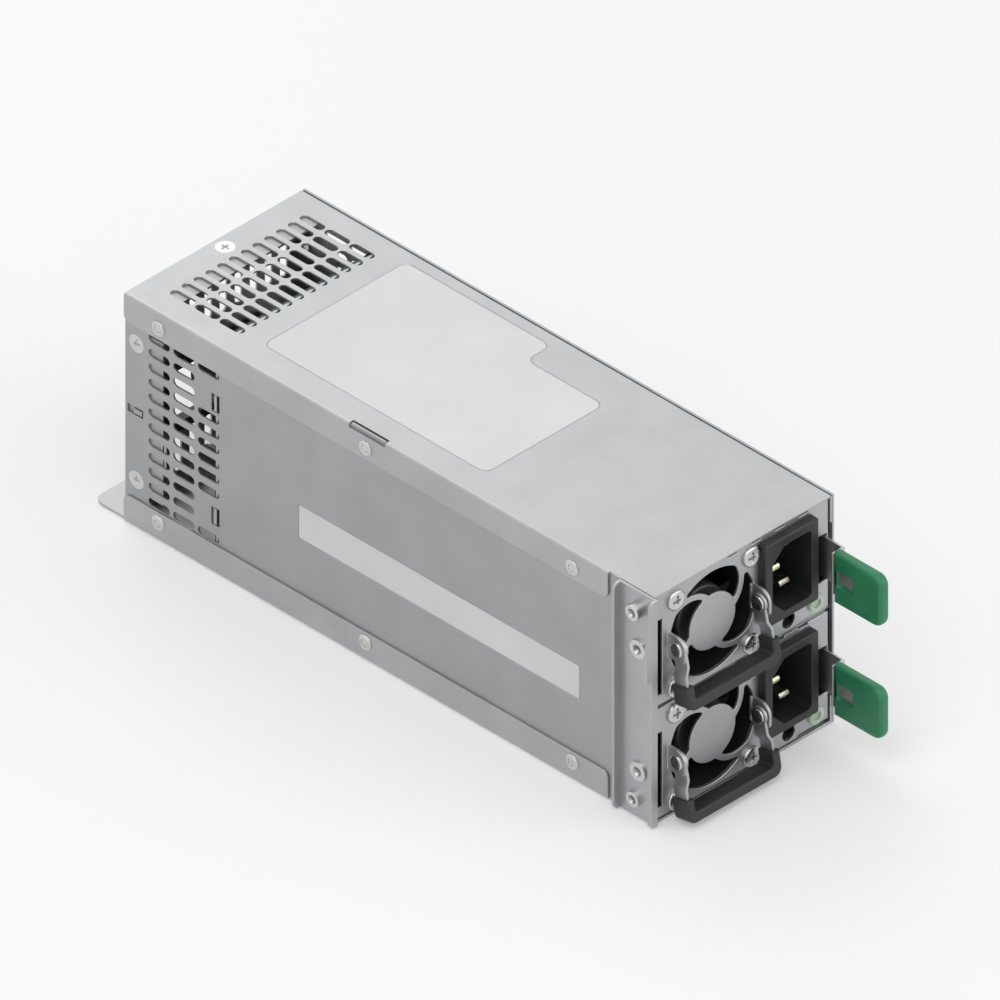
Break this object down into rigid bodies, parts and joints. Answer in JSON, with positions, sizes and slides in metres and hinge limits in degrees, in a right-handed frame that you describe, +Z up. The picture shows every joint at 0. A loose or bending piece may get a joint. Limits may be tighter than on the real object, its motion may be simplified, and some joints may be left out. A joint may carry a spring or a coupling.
{
  "type": "hot swap server power supply",
  "caption": "Redundant server power supply: a sheet steel cage with stacked slide-out modules, each with a fan, mains inlet, bail handle and sprung latch.",
  "frame": {"origin": "centre of the cage's underside, the face that rests on the case floor", "axes": "+X to the right seen from the modules' faces, +Y to the rear, +Z up"},
  "size_m": [0.0819, 0.2667, 0.0836],
  "materials": {
    "zinc_steel": "zinc-plated sheet steel, satin",
    "spring_steel": "spring steel strip, satin",
    "bright_steel": "nickel-plated fasteners",
    "black_plastic": "moulded, fine texture",
    "fan_plastic": "moulded, satin",
    "rotor_plastic": "moulded, satin",
    "grip_plastic": "moulded over the bail, fine texture",
    "tab_plastic": "moulded over the strip, satin green",
    "light_plastic": "translucent light guide, shown unlit",
    "white_nylon": "nylon",
    "circuit_board": "solder resist, satin",
    "can_aluminium": "sleeved can",
    "sink_aluminium": "extruded, plain",
    "tinned_brass": "tinned",
    "ferrite": "ferrite and tape"
  },
  "bodies": {
    "cage": {"top_cover": "zinc_steel", "bottom_tray": "zinc_steel", "left_wall": "zinc_steel", "right_wall": "zinc_steel", "rear_panel": "zinc_steel", "cable_bushing": "black_plastic", "bay_shelf": "zinc_steel", "cage_rivets": "bright_steel", "cage_screws": "bright_steel", "side_bracket": "zinc_steel", "bracket_standoffs": "bright_steel", "bracket_nuts": "bright_steel", "backplane_bracket": "zinc_steel", "backplane_board": "circuit_board", "board_spacers": "white_nylon", "backplane_connectors": "black_plastic", "backplane_capacitors": "can_aluminium", "output_lugs": "tinned_brass"},
    "lower_module": {"lower_chassis": "zinc_steel", "lower_lid": "zinc_steel", "lower_lid_screws": "bright_steel", "lower_face_plate": "zinc_steel", "lower_fan_frame": "fan_plastic", "lower_fan_screws": "bright_steel", "lower_inlet_housing": "black_plastic", "lower_inlet_pins": "tinned_brass", "lower_handle_pivots": "bright_steel", "lower_latch_rivets": "bright_steel", "lower_status_light": "light_plastic", "lower_main_board": "circuit_board", "lower_capacitors": "can_aluminium", "lower_transformer": "ferrite", "lower_heat_sinks": "sink_aluminium", "lower_input_choke": "ferrite"},
    "lower_handle": {"lower_bail": "zinc_steel", "lower_handle_grip": "grip_plastic"},
    "lower_latch": {"lower_latch_strip": "spring_steel", "lower_latch_tab": "tab_plastic"},
    "lower_fan": {"lower_fan_rotor": "rotor_plastic"},
    "upper_module": {"upper_chassis": "zinc_steel", "upper_lid": "zinc_steel", "upper_lid_screws": "bright_steel", "upper_face_plate": "zinc_steel", "upper_fan_frame": "fan_plastic", "upper_fan_screws": "bright_steel", "upper_inlet_housing": "black_plastic", "upper_inlet_pins": "tinned_brass", "upper_handle_pivots": "bright_steel", "upper_latch_rivets": "bright_steel", "upper_status_light": "light_plastic", "upper_main_board": "circuit_board", "upper_capacitors": "can_aluminium", "upper_transformer": "ferrite", "upper_heat_sinks": "sink_aluminium", "upper_input_choke": "ferrite"},
    "upper_handle": {"upper_bail": "zinc_steel", "upper_handle_grip": "grip_plastic"},
    "upper_latch": {"upper_latch_strip": "spring_steel", "upper_latch_tab": "tab_plastic"},
    "upper_fan": {"upper_fan_rotor": "rotor_plastic"}
  },
  "joints": [
    {"name": "lower_slide", "type": "slide", "parent": "cage", "child": "lower_module", "axis": [0, -1, 0], "range_m": [0, 0.175]},
    {"name": "lower_handle_swing", "type": "hinge", "parent": "lower_module", "child": "lower_handle", "pos_m": [-0.01317, -0.11545, 0.0213], "axis": [-1, 0, 0], "range_deg": [0, 95]},
    {"name": "lower_latch_flex", "type": "hinge", "parent": "lower_module", "child": "lower_latch", "pos_m": [0.0352, -0.08435, 0.0203], "axis": [0, 0, -1], "range_deg": [0, 4], "stiffness_Nm_per_rad": 2},
    {"name": "lower_fan_spin", "type": "hinge", "parent": "lower_module", "child": "lower_fan", "pos_m": [-0.0126, -0.09735, 0.02065], "axis": [0, -1, 0], "continuous": true},
    {"name": "upper_slide", "type": "slide", "parent": "cage", "child": "upper_module", "axis": [0, -1, 0], "range_m": [0, 0.175]},
    {"name": "upper_handle_swing", "type": "hinge", "parent": "upper_module", "child": "upper_handle", "pos_m": [-0.01317, -0.11545, 0.0627], "axis": [-1, 0, 0], "range_deg": [0, 95]},
    {"name": "upper_latch_flex", "type": "hinge", "parent": "upper_module", "child": "upper_latch", "pos_m": [0.0352, -0.08435, 0.0617], "axis": [0, 0, -1], "range_deg": [0, 4], "stiffness_Nm_per_rad": 2},
    {"name": "upper_fan_spin", "type": "hinge", "parent": "upper_module", "child": "upper_fan", "pos_m": [-0.0126, -0.09735, 0.06205], "axis": [0, -1, 0], "continuous": true}
  ]
}
